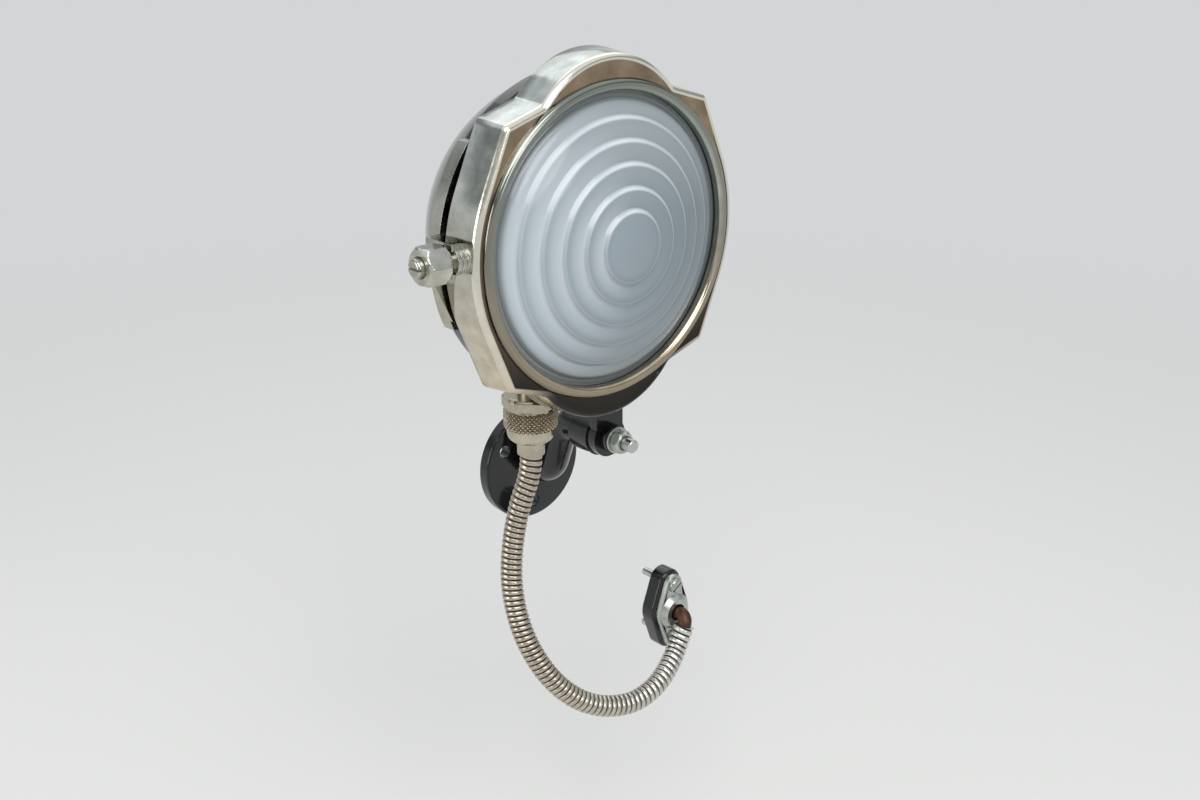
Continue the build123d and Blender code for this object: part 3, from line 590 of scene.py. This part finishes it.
def make_lens():
    """Pressed lens turned round the lamp's axis: a raised disc and rings that follow a dome, each ring a
    little crowned and ending in a rounded riser, with a hollow back. A painted highlight lies along the
    crests, most of it at the top, and past the risers on the outer side. Painted shade lies before the
    risers, most of it at the bottom, and round the rim."""
    front = [(0.0, -crown_height - ring_step / 2 - disc_rise, 0)]
    for radius in ring_radii:
        height = crown_height - crown_radius + math.sqrt(crown_radius**2 - radius**2)
        shoulder = np.array([radius - riser_width / 2, -height - ring_step / 2])
        if len(front) > 1:
            ring = bulged(shoulder, front[-1][:2], ring_crown, 9)[::-1]
            front.extend((*point, 0) for point in ring[1:-1])
        front.append((*shoulder, crest_round))
        front.append((radius + riser_width / 2, -height + ring_step / 2, foot_round))
    front += [(glass_radius, gasket_back, 0), (lens_edge, gasket_back, 0.4), (lens_edge, rim_back, 0.4),
              (hollow_radius, rim_back, 0)]
    back = bulged((hollow_radius, rim_back), (0, lens_wall - crown_height), hollow_bulge, 24)[1:]
    profile = finer(np.vstack([rounded(front, 8), back]), 0.8)
    radius, depth = profile.T
    on_front = np.arange(len(profile)) < np.argmax(depth > gasket_back - 0.2)
    angle = np.linspace(0, TURN, lens_segments, endpoint=False)[:, None]
    sides = (np.sin(angle), -np.sin(angle), -np.cos(angle))
    upward, downward, outer = (np.clip(side, 0, 1) for side in sides)

    # How far each profile point lies past each riser but the last
    past = radius[:, None] - np.array(ring_radii[:-1])
    crest = np.max(np.clip(1.3 - np.abs(past + 0.6), 0, 1), axis=1)
    beyond = np.max(np.clip(1 - (past - 1.2) / 7.0, 0, 1) * (past > 0.2), axis=1)
    before = np.max(np.clip(1 + past / 5.0, 0, 1) * (past < 0.2), axis=1)
    # Painted light: highlight on the crests and past the risers, shade before the risers and round the rim
    dust = on_front * np.maximum(crest * (0.35 + 0.65 * upward), 0.55 * beyond * outer)
    grime = on_front * before * np.maximum(0.55 * downward, 0.25 * np.abs(np.cos(angle)))
    rim = on_front * np.clip((radius - dull_rim) / 3.0, 0, 1)
    glass = turned("lens_pressing", profile, lip, BACK, lens_segments, dust=dust, grime=grime, rim=rim)
    settle(glass, "door", "lens_glass", lens_glass, "lens")
    gasket = rounded([(gasket_inner, gasket_front, 0), (gasket_inner, gasket_back, 0.2),
                      (gasket_outer, gasket_back, 0.2), (gasket_outer, gasket_front, 0)], 3)
    settle(turned("gasket_ring", gasket, lip, BACK, ring=True), "door", "rubber", rubber, "lens_gasket")
    around = np.linspace(0, TURN, 12, endpoint=False)
    spring = np.stack([spring_radius + spring_half_width * np.cos(around),
                       spring_depth + spring_half_depth * np.sin(around)], axis=1)
    settle(turned("spring_ring", spring, lip, BACK, ring=True), "door", "steel", spring_steel,
           "lens_retainer")


# Front ring, bowl and reflector, measured in the same way
neck_inner = 72.8
neck_outer = 74.0
neck_front = 12.0
collar_radius = 78.5
collar_front = 24.0
collar_back = 33.5
collar_bore = 75.5
dish_front = 27.0
bowl_rim = 76.9
bowl_heel = 23.9
bowl_back = 93.0
bowl_wall = 1.2
bowl_bulge = 8.2
heel_round = 3.0
dish_flange = 75.2
dish_rim = 70.0
dish_neck = 12.0
dish_back = 77.0
dish_wall = 0.8
dish_bulge = 11.7


def make_body():
    """Front ring, bowl and reflector, each a section turned round the lamp's axis. Bowl and reflector are
    sheets: one arc bulges from rim to heel or neck, and a second one lies a wall away from it."""
    ring = rounded([(neck_inner, neck_front, 0.5), (neck_outer, neck_front, 0.5),
                    (neck_outer, collar_front, 0.3), (collar_radius, collar_front, 0.8),
                    (collar_radius, collar_back - 2, 0.3), (collar_radius - 0.5, collar_back, 0.6),
                    (collar_bore, collar_back, 0.3), (collar_bore, dish_front, 0.3),
                    (neck_inner, dish_front, 0.3)], 6)
    settle(turned("front_ring", ring, lip, BACK, 240, ring=True), "lamp", "black_enamel", enamel, "rim_ring")

    outside = bulged((bowl_heel, bowl_back), (bowl_rim, collar_back), bowl_bulge)[::-1]
    heel = rounded([(*outside[-2], 0), (*outside[-1], heel_round), (0, bowl_back, 0)], 7)
    bottom = bowl_back - bowl_wall
    inside = bulged((bowl_heel - bowl_wall, bottom), (bowl_rim - bowl_wall, collar_back), bowl_bulge)
    profile = np.vstack([outside[:-2], heel, [[0, bottom]], inside, outside[:1]])
    settle(turned("bowl_shell", profile, lip, BACK, 240), "lamp", "black_enamel", enamel, "bowl")

    mirror = bulged((dish_neck, dish_back), (dish_rim, dish_front), dish_bulge)[::-1]
    flange_back = dish_front + dish_wall
    behind = bulged((dish_neck, dish_back + dish_wall), (dish_rim + dish_wall, flange_back), dish_bulge)
    profile = np.vstack([[[dish_flange, dish_front]], mirror, behind, [[dish_flange, flange_back]]])
    settle(turned("reflector_dish", profile, lip, BACK, 200, ring=True), "lamp", "silvered", silvered,
           "reflector")


make_bezel()
make_lens()
make_body()

# Bulb
settle(dressed("bulb_socket", "socket_shell", edge=0.5), "lamp", "brass", brass, "bulb_socket")
settle(dressed("bulb_cap", "cap_shell", edge=0.4), "lamp", "brass", brass, "bulb_cap")
settle(dressed("bulb", "bulb_envelope", edge=0.0), "lamp", "bulb_glass", bulb_glass, "bulb")

# Filament and stem, measured from the bulb's middle
bulb_radius = 14.0
filament_half = 4.5
filament_coils = 9
filament_radius = 0.9
filament_wire = 0.3
support_wire = 0.5
stem_front = 6.5
bend_depth = 5.0


def wire(name, line, thickness):
    """Round wire along a line of points, none of whose runs is parallel to X: a circle square to the line is
    carried along it and closed at both ends."""
    sides = 8
    tangent = np.gradient(line, axis=0)
    side = np.cross(tangent, RIGHT)
    side /= np.linalg.norm(side, axis=1, keepdims=True)
    up = np.cross(side, tangent)
    up /= np.linalg.norm(up, axis=1, keepdims=True)
    angle = np.linspace(0, TURN, sides, endpoint=False)[None, :, None]
    spoke = np.cos(angle) * side[:, None, :] + np.sin(angle) * up[:, None, :]
    points = line[:, None, :] + thickness / 2 * spoke
    ends = [np.repeat(line[i][None, None, :], sides, axis=1) for i in (0, -1)]
    made = surface(name, np.concatenate([ends[0], points, ends[1]]), wrap_rows=False, wrap_columns=True)
    return settle(made, "lamp", "steel", spring_steel)


def make_filament():
    """Coiled filament across the middle of the bulb, held by two wires that come out of a glass stem. The
    coil is drawn coarser than a real one, so that it shows."""
    low, high = corners("bulb")
    centre = (low + high) / 2 * [1, 0, 1] + [0, low[1] + bulb_radius, 0]
    foot = corners("bulb_cap")[0][1] - centre[1]
    stem = rounded([(0, stem_front, 0), (1.6, stem_front, 0.7), (2.3, stem_front + 3, 1.0),
                    (5.6, foot + 0.6, 0.3), (0, foot + 0.6, 0)])
    settle(turned("bulb_stem", stem, centre, BACK, 48), "lamp", "lens_glass", lens_glass)
    share = np.linspace(-1, 1, filament_coils * 14)
    turns = share * filament_coils * math.pi
    coil = np.stack([share * filament_half, filament_radius * np.cos(turns),
                     filament_radius * np.sin(turns)], axis=1)
    wire("filament_coil", centre + coil, filament_wire)
    for name, hand, end in (("outer_support", -1, coil[0]), ("inner_support", 1, coil[-1])):
        line = np.array([[hand * 1.8, foot + 1.0, 0.0], [hand * 2.0, stem_front + 2.5, 0.0],
                         [hand * filament_half, bend_depth, 0.0], end])
        wire(name, centre + line, support_wire)


make_filament()

# Fittings: hinge, clasp and outlet, bracket and flange hardware, then the painted pieces and the elbow
for node, body, edge in (
        ("door_leaf", "door", 0.4), ("body_leaf", "lamp", 0.4), ("hinge_pin", "lamp", 0.5),
        ("clasp_boss", "door", 0.25), ("clasp_lug", "lamp", 0.3), ("clasp_stud", "door", 0.15),
        ("outlet_nipple", "lamp", 0.3), ("ferrule", "lamp", 0.5)):
    settle(dressed(node, f"{node}_plated", edge), body, "nickel", worn_nickel, node)

for node, edge in (("bracket_stud", 0.3), ("bracket_washer", 0.3), ("flange", 0.3), ("upper_screw", 0.2),
                   ("lower_screw", 0.2)):
    settle(dressed(node, f"{node}_plated", edge), "lamp", "nickel", satin_nickel, node)

for node in ("lamp_lug", "bracket", "flange_pad"):
    settle(dressed(node, f"{node}_enamelled", edge=0.8), "lamp", "black_enamel", enamel, node)
settle(dressed("bushing", "bushing_tube", edge=0.2), "lamp", "copper", copper, "bushing")


def hex_nut(name, node, along, body, finish, flats, bore):
    """Hexagonal nut: round its axis the radius is that of six flats or of a cone at either end, whichever is
    smaller, with a bore down the middle."""
    low, high = corners(node)
    length = abs((high - low) @ along)
    centre = (low + high) / 2 - along * length / 2
    angle = np.linspace(0, TURN, 120, endpoint=False)
    prism = flats / 2 / np.cos(angle % (TURN / 6) - TURN / 12)
    flat_rim = flats / 2 - 0.4
    cone_slope, bore_edge = 0.9, 0.6
    run = np.array([0, 0.3, 0.7, 1.2, 1.8, 2.5, 3.2])
    reach = np.concatenate([run, length - run[::-1]])
    cone = flat_rim + np.minimum(reach, length - reach) * cone_slope
    skin = np.minimum(prism[:, None], cone[None, :])
    holes = np.full((len(angle), 1), bore)
    lips = np.full((len(angle), 1), bore + bore_edge)
    radius = np.hstack([holes, lips, skin, lips, holes])
    distance = np.concatenate([[bore_edge, 0.0], reach, [length, length - bore_edge]])
    side, up = across(along)
    spoke = np.cos(angle)[:, None] * side + np.sin(angle)[:, None] * up
    points = centre + radius[..., None] * spoke[:, None, :] + distance[:, None] * along
    nut = surface(name, points, wrap_columns=True, sharp=22)
    return settle(nut, body, "nickel", finish, node)


hex_nut("clasp_nut_hexagon", "clasp_nut", -RIGHT, "door", nickel, flats=16.5, bore=4.55)
hex_nut("bracket_nut_hexagon", "bracket_nut", -BACK, "lamp", satin_nickel, flats=11.0, bore=3.55)


# Conduit connector: heights are measured from its foot
connector_foot = 12.0
connector_hexagon = 26.0
hexagon_corner = 14.4
hexagon_turn = math.radians(-12)
knurl_radius = 13.7
knurl_low = 8.0
knurl_high = 18.0
knurl_count = 36
knurl_lead = 2.3
knurl_depth = 0.8


def on_knurl(height):
    """Whether a height on the connector nut is inside the knurled band."""
    return (height > knurl_low + 0.2) & (height < knurl_high - 0.2)


def knurl_grooves(angle, height):
    """Depth, 0 to 1, in two crossing sets of V grooves: the count goes round the nut, and the lead is from
    one groove up to the next."""
    one = (angle / TURN * knurl_count + height / knurl_lead) % 1
    other = (angle / TURN * knurl_count - height / knurl_lead) % 1
    peak = np.minimum(1 - np.abs(2 * one - 1), 1 - np.abs(2 * other - 1))
    return np.where(on_knurl(height), 1 - np.clip(peak * 1.4, 0, 1), 0)


def make_connector():
    """Connector nut turned round an upright axis: a round foot, a band of small pyramids between the crossing
    grooves, lower towards its two rims, and a hexagon with its corners cut to a cylinder. Tarnish lies in
    the grooves."""
    low, high = corners("connector_nut")
    foot = (low + high) / 2 * [1, 1, 0] + [0, 0, low[2]]
    top = high[2] - low[2]
    body = rounded([(0, 0, 0), (connector_foot, 0, 5.0), (connector_foot, knurl_low, 0.5),
                    (knurl_radius - 0.5, knurl_low, 0)], 9)
    band_heights = np.linspace(knurl_low + 0.4, knurl_high - 0.4, 71)
    band = np.stack([np.full_like(band_heights, knurl_radius), band_heights], axis=1)
    hexagon = rounded([(12.6, knurl_high, 0), (13.3, knurl_high, 0.3),
                       (hexagon_corner, knurl_high + 1.2, 0.4), (hexagon_corner, top - 1.2, 0.4),
                       (12.8, top, 0.4), (7.0, top, 0)], 5)
    profile = np.vstack([body, band, hexagon, [[0, top]]])

    def cut(angle, height):
        flat = connector_hexagon / 2 / np.cos((angle - hexagon_turn) % (TURN / 6) - TURN / 12)
        facet = np.minimum(flat - hexagon_corner, 0)
        rim = np.clip((height - knurl_low) / 0.9, 0, 1) * np.clip((knurl_high - height) / 0.9, 0, 1)
        knurl = -knurl_depth * knurl_grooves(angle, height) - 0.6 * (1 - rim)
        on_hexagon = (height > knurl_high + 0.6) & (height < top - 0.5)
        return np.where(on_knurl(height), knurl, np.where(on_hexagon, facet, 0))

    segments = 520
    angle = np.linspace(0, TURN, segments, endpoint=False)[:, None]
    dirt = 0.65 * knurl_grooves(angle, profile[None, :, 1])
    nut = turned("connector_nut_knurled", profile, foot, UP, segments, sharp=32, swell=cut, tarnish=dirt)
    settle(nut, "lamp", "nickel", worn_nickel, "connector_nut")


make_connector()

# Conduit: the route is the CAD tube's, a smooth hanging curve from the ferrule to the flange
conduit_radius = 5.75
conduit_route = [
    (-46.0, -62.0, 35.0), (-46.0, -62.0, 25.0), (-53.0, -60.5, 8.0), (-58.6, -60.5, -15.0),
    (-62.0, -64.0, -38.0), (-61.5, -74.0, -62.2), (-53.0, -86.5, -84.8), (-36.0, -95.5, -100.5),
    (-13.0, -101.0, -106.5), (5.2, -101.5, -102.5), (19.2, -97.5, -96.2), (29.4, -93.5, -88.7),
    (33.6, -93.5, -78.5),
]
groove_depth = 0.85
groove_half = 0.17
crest_fall = 0.25

# Pitch of the wrap at shares of the conduit's length: widest at its two ends
pitch_places = [0, 0.12, 0.5, 0.8, 1]
pitches = [3.4, 2.9, 2.6, 3.1, 3.6]


def smooth_route(route):
    """Points along the smooth spline that has the route as its control points, in millimetres."""
    curve = bpy.data.curves.new("route", "CURVE")
    curve.dimensions = "3D"
    curve.resolution_u = 24
    spline = curve.splines.new("NURBS")
    spline.points.add(len(route) - 1)
    spline.points.foreach_set("co", [c for x, y, z in route for c in (x * MM, y * MM, z * MM, 1.0)])
    spline.order_u = 3
    spline.use_endpoint_u = True
    holder = bpy.data.objects.new("route", curve)
    bpy.context.scene.collection.objects.link(holder)
    bpy.context.view_layer.update()
    line = bpy.data.meshes.new_from_object(holder)
    points = np.empty(len(line.vertices) * 3)
    line.vertices.foreach_get("co", points)
    bpy.data.objects.remove(holder)
    return points.reshape(-1, 3) / MM


def make_conduit():
    """Spiral-wrapped tube: a circle carried along the route, its radius dipping into a groove once a pitch
    and highest midway between two, and the groove's place turning with the angle so that it runs as one screw
    line."""
    ring_spacing, sides, path_stride = 0.2, 40, 8
    route = smooth_route(conduit_route)
    gone = np.concatenate([[0], np.cumsum(np.linalg.norm(np.diff(route, axis=0), axis=1))])
    at = np.linspace(0, gone[-1], int(gone[-1] / ring_spacing))
    line = np.stack([np.interp(at, gone, route[:, axis]) for axis in range(3)], axis=1)
    tangent = np.gradient(line, axis=0)
    tangent /= np.linalg.norm(tangent, axis=1, keepdims=True)
    side = np.cross(tangent, BACK)
    side /= np.linalg.norm(side, axis=1, keepdims=True)
    up = np.cross(side, tangent)
    angle = np.linspace(0, TURN, sides, endpoint=False)
    pitch = np.interp(at / at[-1], pitch_places, pitches)
    wraps = np.concatenate([[0], np.cumsum(np.diff(at) / pitch[1:])])
    phase = (wraps[:, None] - angle[None, :] / TURN) % 1
    off = np.minimum(phase, 1 - phase)
    groove = np.clip(1 - (off / groove_half) ** 2, 0, 1)
    crown = (2 * off) ** 2
    radius = conduit_radius - groove_depth * groove - crest_fall * (1 - crown)
    spoke = np.cos(angle)[None, :, None] * side[:, None, :] + np.sin(angle)[None, :, None] * up[:, None, :]
    points = line[:, None, :] + radius[..., None] * spoke
    ends = [np.repeat(line[i][None, None, :], sides, axis=1) for i in (0, -1)]
    points = np.concatenate([ends[0], points, ends[1]])
    groove = np.concatenate([groove[:1], groove, groove[-1:]])
    # Share of the way along, which drives the painted light that brightens the far end
    run = np.repeat(np.linspace(0, 1, len(points))[:, None], sides, axis=1)
    tube = surface("conduit_wrap", points, wrap_rows=False, wrap_columns=True, sharp=60,
                   groove=groove, run=run)
    settle(tube, "lamp", "conduit_nickel", conduit_nickel, "conduit")


make_conduit()


# Stage: pale floor below the lamp, soft studio light and the photograph's camera, all
# in metres
floor_drop = 0.11
floor_size = 40.0
fade_start = 0.35
fade_end = 1.5
far_colour = "#E2E4E5"
sky_strength = 0.86


def make_stage():
    """Square floor that fades far out into the sky's pale edge, a sky with a grey belt below a bright top,
    and four soft lamps."""
    half = floor_size / 2
    level = cad_low.z - floor_drop
    square = [(-half, -half, level), (half, -half, level), (half, half, level), (-half, half, level)]
    mesh = bpy.data.meshes.new("floor")
    mesh.from_pydata(square, [], [(0, 1, 2, 3)])
    floor = bpy.data.objects.new("floor", mesh)
    bpy.context.scene.collection.objects.link(floor)
    made, tree, shader, place = start("pale_paper_floor")
    shader.inputs["Base Color"].default_value = colour("#D9D8D5")
    shader.inputs["Roughness"].default_value = 0.9
    flat = add(tree, "ShaderNodeVectorMath",
               {0: place, 1: (1, 1, 0)}, operation="MULTIPLY").outputs["Vector"]
    out = add(tree, "ShaderNodeVectorMath", {0: flat}, operation="LENGTH").outputs["Value"]
    far = add(tree, "ShaderNodeMapRange", {"Value": out, "From Min": fade_start, "From Max": fade_end},
              interpolation_type="SMOOTHSTEP").outputs["Result"]
    ray = add(tree, "ShaderNodeLightPath").outputs
    direct = add(tree, "ShaderNodeMath",
                 {0: ray["Is Camera Ray"], 1: ray["Is Glossy Ray"]}, operation="ADD").outputs[0]
    seen = add(tree, "ShaderNodeMath", {0: direct, 1: ray["Is Transmission Ray"]}, operation="ADD").outputs[0]
    fade = add(tree, "ShaderNodeMath", {0: seen, 1: far}, operation="MULTIPLY", use_clamp=True).outputs[0]
    edge = add(tree, "ShaderNodeEmission", {"Color": colour(far_colour), "Strength": sky_strength})
    mixed = add(tree, "ShaderNodeMixShader", {0: fade, 1: shader.outputs[0], 2: edge.outputs[0]})
    tree.links.new(mixed.outputs[0], tree.nodes["Material Output"].inputs["Surface"])
    mesh.materials.append(made)

    world = bpy.data.worlds.new("studio")
    bpy.context.scene.world = world
    world.use_nodes = True
    tree = world.node_tree
    sight = add(tree, "ShaderNodeTexCoord").outputs["Generated"]
    rise = add(tree, "ShaderNodeSeparateXYZ", {"Vector": sight}).outputs["Z"]
    sky = colour(far_colour)
    for first, last, code in ((0.15, 0.35, "#9BA09F"), (0.4, 0.65, "#F2F6FA")):
        share = add(tree, "ShaderNodeMapRange", {"Value": rise, "From Min": first, "From Max": last},
                    interpolation_type="SMOOTHSTEP").outputs["Result"]
        sky = add(tree, "ShaderNodeMix", {0: share, 6: sky, 7: colour(code)}, data_type="RGBA").outputs[2]
    shade = tree.nodes["Background"]
    tree.links.new(sky, shade.inputs["Color"])
    shade.inputs["Strength"].default_value = sky_strength

    for name, at, aim, size, power in (
            ("key", (-0.55, -0.95, 1.25), (0, -0.1, 0.1), 1.1, 12.0),
            ("front", (0.1, -1.5, 0.6), (0, -0.1, 0.15), 0.6, 3.0),
            ("side", (-1.5, 0.3, 0.35), (0, -0.1, 0.1), 0.8, 6.0),
            ("rim", (0.7, 0.8, 1.3), (0, 0, 0.1), 1.6, 6.0)):
        data = bpy.data.lights.new(name, "AREA")
        data.size = size
        data.energy = power
        lamp = bpy.data.objects.new(name, data)
        lamp.location = at
        lamp.rotation_mode = "QUATERNION"
        lamp.rotation_quaternion = (Vector(aim) - Vector(at)).to_track_quat("-Z", "Y")
        bpy.context.scene.collection.objects.link(lamp)


def make_camera():
    """Camera where the photograph was taken from, with a longer lens so that the lamp fills the picture."""
    eye = Vector((-0.5147, -0.6439, 0.3405))
    aim = Vector((-0.020, -0.085, 0.0635))
    data = bpy.data.cameras.new("camera")
    data.sensor_width = 36.0
    data.lens = 48.0
    camera = bpy.data.objects.new("camera", data)
    camera.location = eye
    camera.rotation_mode = "QUATERNION"
    camera.rotation_quaternion = (aim - eye).to_track_quat("-Z", "Y")
    bpy.context.scene.collection.objects.link(camera)
    bpy.context.scene.camera = camera


make_stage()
make_camera()
bpy.context.scene.view_settings.view_transform = "Standard"
